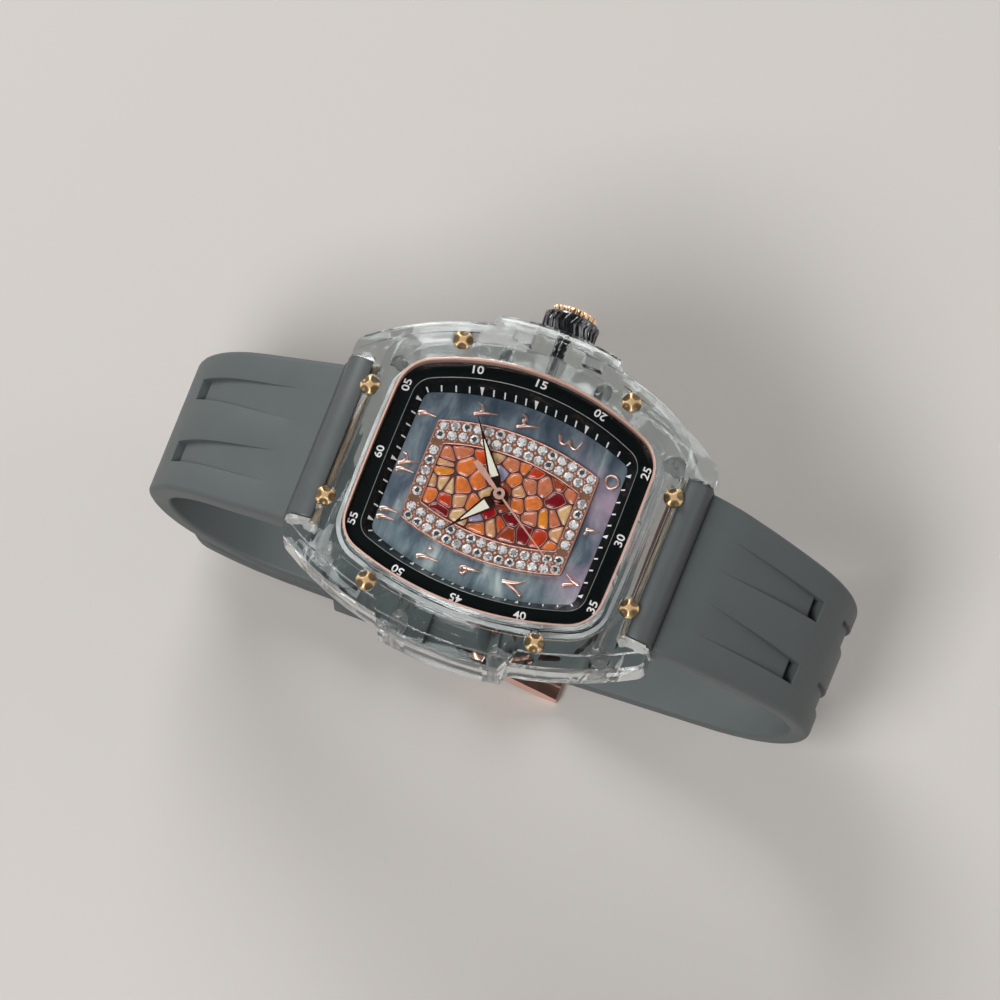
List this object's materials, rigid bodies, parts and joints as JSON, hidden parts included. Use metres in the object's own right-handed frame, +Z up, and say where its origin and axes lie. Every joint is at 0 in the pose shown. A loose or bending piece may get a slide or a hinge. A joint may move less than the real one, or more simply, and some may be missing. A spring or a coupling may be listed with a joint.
{
  "type": "quartz wristwatch",
  "caption": "Barrel-shaped quartz wristwatch with clear arched case, stone-set pearl dial, side crown and grooved silicone strap closed in a loop by a pin buckle.",
  "frame": {"origin": "on the ground, under the middle of the bounding box of the closed watch standing on its buckle end", "axes": "+X to 3 o'clock and the crown, +Y to 12 o'clock and the buckle half of the strap, +Z up out of the dial"},
  "size_m": [0.0498, 0.0916, 0.0563],
  "materials": {
    "clear_case": "clear polished",
    "crystal_glass": "clear polished",
    "rose_gold": "polished rose gold plate",
    "gold_screw": "polished yellow-gold plate",
    "black_ring": "satin black",
    "pearl_dial": "dark mother-of-pearl, polished",
    "stones": "faceted white stones",
    "mosaic": "enamel pebbles between raised lines",
    "lume": "matt",
    "train_brass": "satin",
    "magnet": "satin",
    "steel": "satin",
    "white_plastic": "matt",
    "copper": "wound copper wire",
    "board": "matt green",
    "black_crown": "satin black",
    "black_gasket": "matt",
    "white_gasket": "matt",
    "strap_silicone": "fine matt grey"
  },
  "bodies": {
    "watch": {"case_band": "clear_case", "bezel": "clear_case", "case_back": "clear_case", "back_gasket": "black_gasket", "bezel_gasket": "white_gasket", "crystal": "crystal_glass", "crystal_ring": "rose_gold", "chapter_ring": "black_ring", "dial": "pearl_dial", "hour_numerals": "rose_gold", "gem_frame": "rose_gold", "gems": "stones", "mosaic_plate": "mosaic", "main_plate": "train_brass", "train_bridge": "steel", "movement_holder": "white_plastic", "battery": "steel", "battery_clamp": "train_brass", "coil": "copper", "stator": "steel", "circuit_board": "board", "quartz_can": "steel", "crown_tube": "black_crown", "bezel_screws": "gold_screw", "back_screws": "steel", "clamp_bars": "rose_gold", "strap_12": "strap_silicone", "strap_6": "strap_silicone", "keeper_fixed": "strap_silicone", "buckle_bar": "steel"},
    "crown_turning": {"sliding_pinion": "steel"},
    "crown_pulling": {"crown": "black_crown", "crown_cap": "rose_gold", "stem": "steel", "crown_gaskets": "black_gasket"},
    "seconds": {"seconds_wheel": "train_brass", "second_hand": "rose_gold"},
    "minutes": {"centre_wheel": "train_brass", "minute_hand": "rose_gold", "minute_lume": "lume"},
    "hours": {"hour_wheel": "train_brass", "hour_hand": "rose_gold", "hour_lume": "lume"},
    "third": {"third_wheel": "train_brass"},
    "fifth": {"fifth_wheel": "train_brass"},
    "rotor": {"rotor": "magnet"},
    "motion_work": {"minute_wheel": "train_brass"},
    "frame": {"buckle_frame": "rose_gold"},
    "tongue": {"buckle_tongue": "rose_gold"},
    "keeper": {"keeper_loose": "strap_silicone"}
  },
  "joints": [
    {"name": "seconds_turn", "type": "hinge", "parent": "watch", "child": "seconds", "pos_m": [-0.00221, -0.00047, 0.0475], "axis": [0, 0, 1], "continuous": true},
    {"name": "third_turn", "type": "hinge", "parent": "watch", "child": "third", "pos_m": [-0.00597, -0.00183, 0.0477], "axis": [0, 0, 1], "continuous": true},
    {"name": "minutes_turn", "type": "hinge", "parent": "watch", "child": "minutes", "pos_m": [-0.00221, -0.00047, 0.05], "axis": [0, 0, 1], "continuous": true},
    {"name": "motion_work_turn", "type": "hinge", "parent": "watch", "child": "motion_work", "pos_m": [-0.00102, -0.00254, 0.0502], "axis": [0, 0, 1], "continuous": true},
    {"name": "hours_turn", "type": "hinge", "parent": "watch", "child": "hours", "pos_m": [-0.00221, -0.00047, 0.051], "axis": [0, 0, 1], "continuous": true},
    {"name": "fifth_turn", "type": "hinge", "parent": "watch", "child": "fifth", "pos_m": [-0.00155, 0.00332, 0.0473], "axis": [0, 0, 1], "continuous": true},
    {"name": "rotor_turn", "type": "hinge", "parent": "watch", "child": "rotor", "pos_m": [-0.00373, 0.00458, 0.0473], "axis": [0, 0, 1], "continuous": true},
    {"name": "crown_turn", "type": "hinge", "parent": "watch", "child": "crown_turning", "pos_m": [0.00428, -0.00047, 0.0494], "axis": [1, 0, 0], "continuous": true},
    {"name": "crown_pull", "type": "slide", "parent": "crown_turning", "child": "crown_pulling", "axis": [1, 0, 0], "range_m": [0, 0.0012]},
    {"name": "frame_hinge", "type": "hinge", "parent": "watch", "child": "frame", "pos_m": [-0.00221, 0.00153, 0.0055], "axis": [1, 0, 0], "range_deg": [0, 5]},
    {"name": "tongue_hinge", "type": "hinge", "parent": "frame", "child": "tongue", "pos_m": [-0.00221, 0.00153, 0.0055], "axis": [1, 0, 0], "range_deg": [0, 4]},
    {"name": "keeper_slide", "type": "slide", "parent": "watch", "child": "keeper", "axis": [0, 1, 0], "range_m": [-0.003, 0.003]}
  ],
  "couplings": [
    {"joint": "seconds_turn", "follows": "minutes_turn", "ratio": 60},
    {"joint": "third_turn", "follows": "minutes_turn", "ratio": -8},
    {"joint": "motion_work_turn", "follows": "minutes_turn", "ratio": -0.33333},
    {"joint": "hours_turn", "follows": "minutes_turn", "ratio": 0.083333},
    {"joint": "fifth_turn", "follows": "minutes_turn", "ratio": -300},
    {"joint": "rotor_turn", "follows": "minutes_turn", "ratio": 1800}
  ]
}
